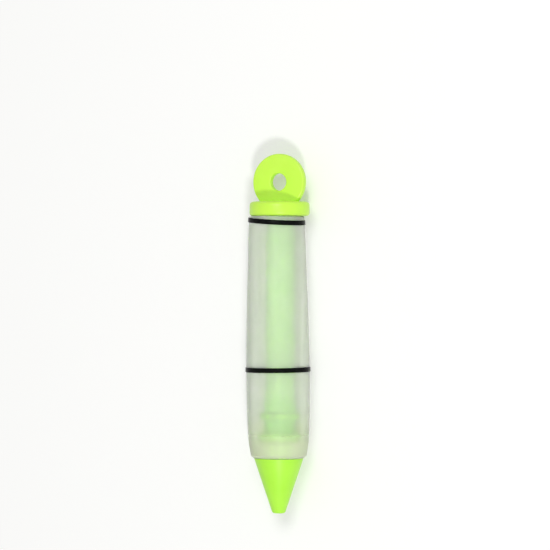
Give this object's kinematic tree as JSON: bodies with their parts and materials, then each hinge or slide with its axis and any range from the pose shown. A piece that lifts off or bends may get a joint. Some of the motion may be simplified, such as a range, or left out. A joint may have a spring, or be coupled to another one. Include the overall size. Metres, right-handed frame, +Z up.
{
  "type": "decorating syringe",
  "caption": "Hand-held decorating syringe: soft see-through barrel, plunger with a round hanging handle, and a push-fit cone nozzle.",
  "frame": {"origin": "bottom centre of the syringe as it lies on its side", "axes": "+Y along the barrel from the nozzle to the handle, +Z up, square to the face of the hanging disc"},
  "size_m": [0.0284, 0.1567, 0.0284],
  "materials": {
    "frosted_silicone": "frosted, see-through",
    "black_elastic": "glossy",
    "lime_plastic": "moulded, satin gloss",
    "lime_soft_plastic": "moulded, soft"
  },
  "bodies": {
    "barrel": {"barrel": "frosted_silicone", "upper_band": "black_elastic", "lower_band": "black_elastic"},
    "piston": {"piston": "lime_soft_plastic"},
    "plunger": {"handle": "lime_plastic", "plunger_rod": "lime_plastic"},
    "nozzle": {"nozzle": "lime_plastic"}
  },
  "joints": [
    {"name": "plunger_slide", "type": "slide", "parent": "barrel", "child": "piston", "axis": [0, 1, 0], "range_m": [0, 0.105]},
    {"name": "plunger_turn", "type": "hinge", "parent": "piston", "child": "plunger", "pos_m": [0.00078, -0.04, 0.01421], "axis": [0, 1, 0], "continuous": true},
    {"name": "nozzle_pull", "type": "slide", "parent": "barrel", "child": "nozzle", "axis": [0, -1, 0], "range_m": [0, 0.015]}
  ]
}
